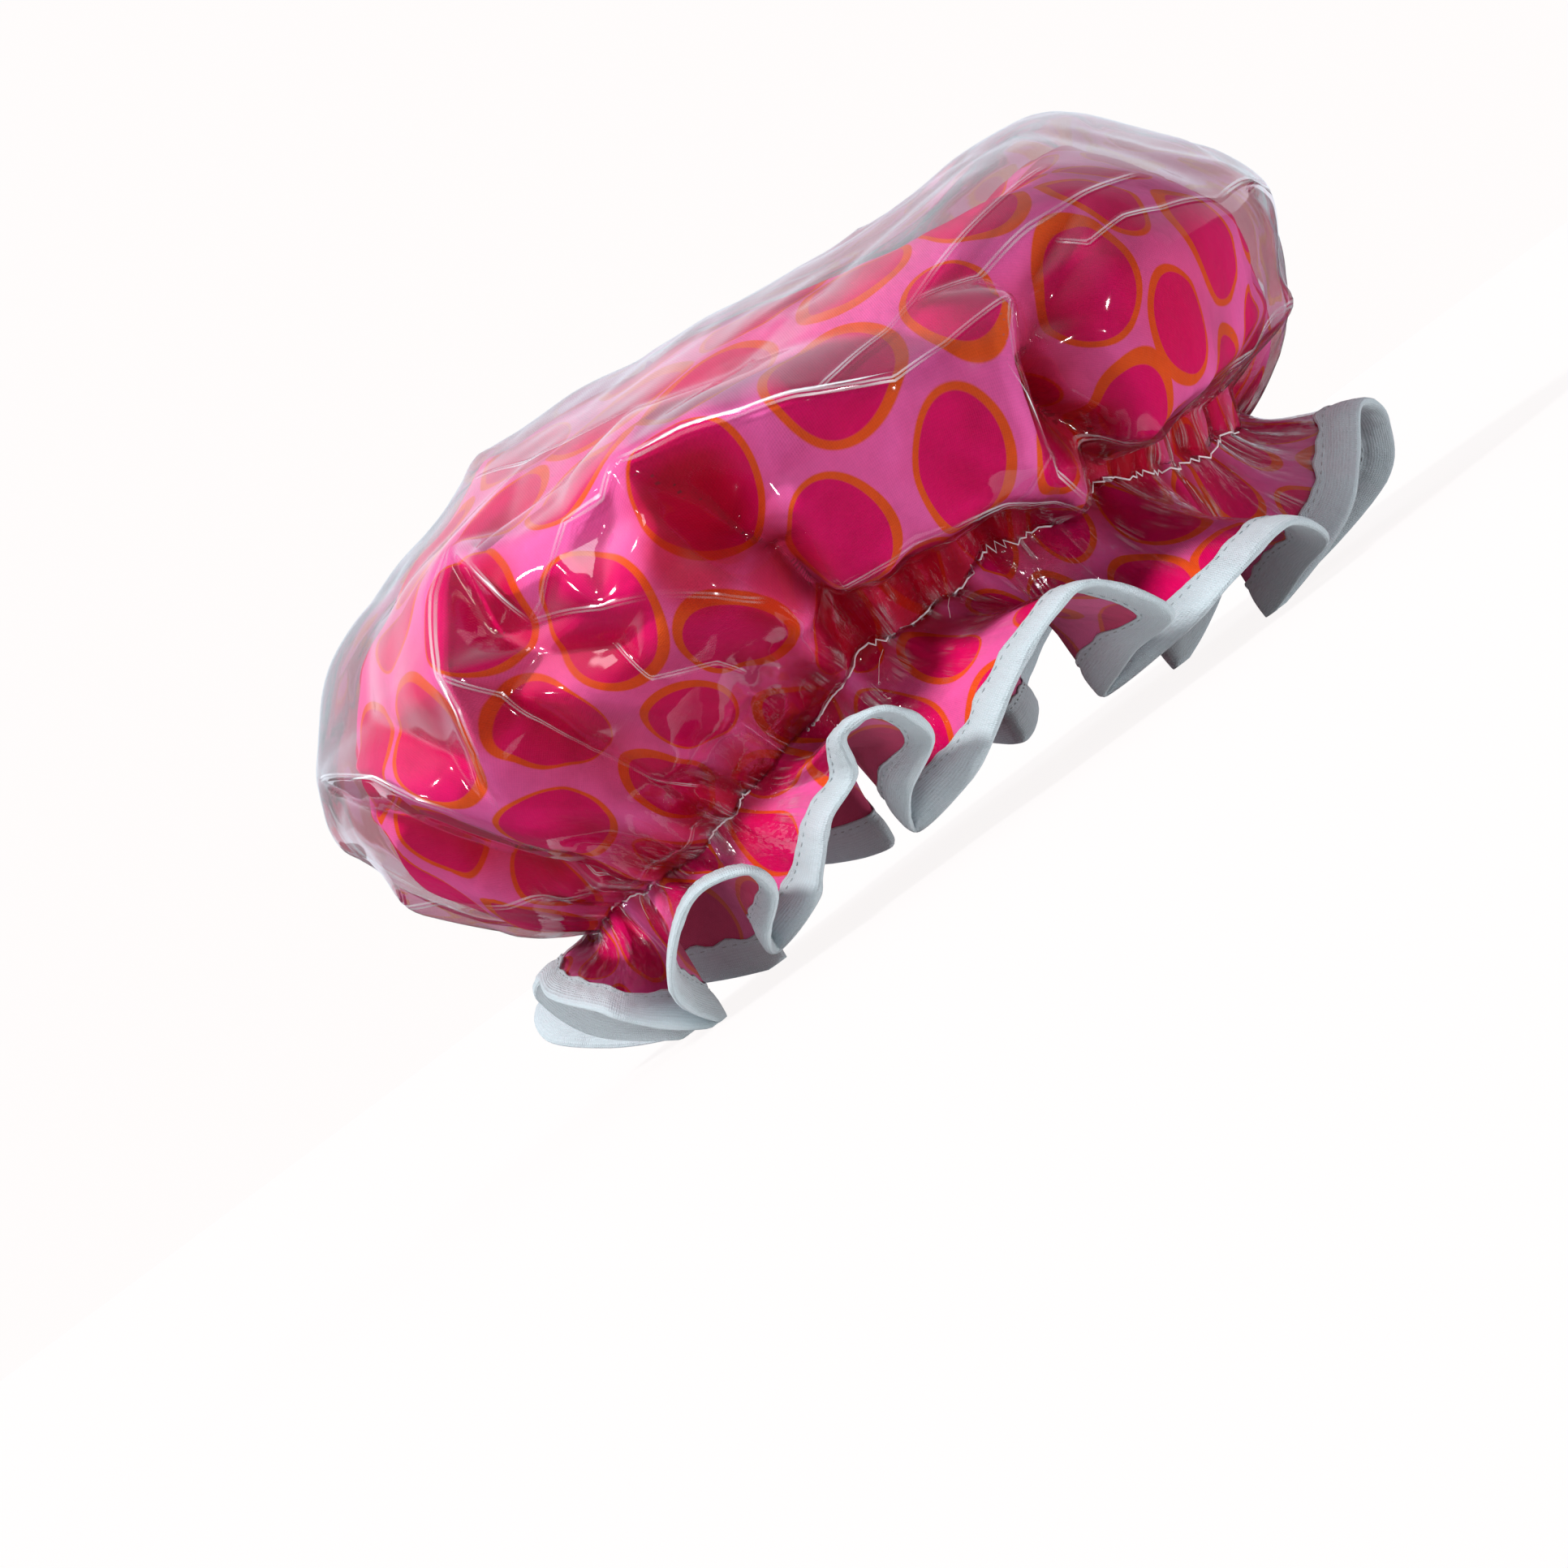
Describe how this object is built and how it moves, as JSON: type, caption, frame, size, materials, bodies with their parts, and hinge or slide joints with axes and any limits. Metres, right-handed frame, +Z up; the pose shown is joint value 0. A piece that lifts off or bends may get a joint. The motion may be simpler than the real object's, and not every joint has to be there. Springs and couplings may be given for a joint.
{
  "type": "shower cap",
  "caption": "Puffed bath cap of clear film over printed cloth, gathered on a hidden elastic above a wavy frill with a bound edge.",
  "frame": {"origin": "middle of the cap's footprint, on the surface that its hem stands on", "axes": "+X towards the forehead side, +Y towards the wearer's left, +Z up through the crown"},
  "size_m": [0.2912, 0.262, 0.1579],
  "materials": {
    "clear_film": "clear soft plastic film, glossy, creased",
    "printed_cotton": "plain-weave cotton printed with outlined ovals in pink, magenta and orange",
    "elastic": "woven flat elastic",
    "gather_thread": "fine glossy thread in a zigzag",
    "binding_tape": "off-white soft knitted cotton tape",
    "seam_thread": "grey sewing thread in a running stitch"
  },
  "bodies": {
    "root": {"outer_film": "clear_film", "printed_fabric": "printed_cotton", "elastic_band": "elastic", "gather_stitch": "gather_thread", "edge_binding": "binding_tape", "binding_stitch": "seam_thread"}
  },
  "joints": []
}
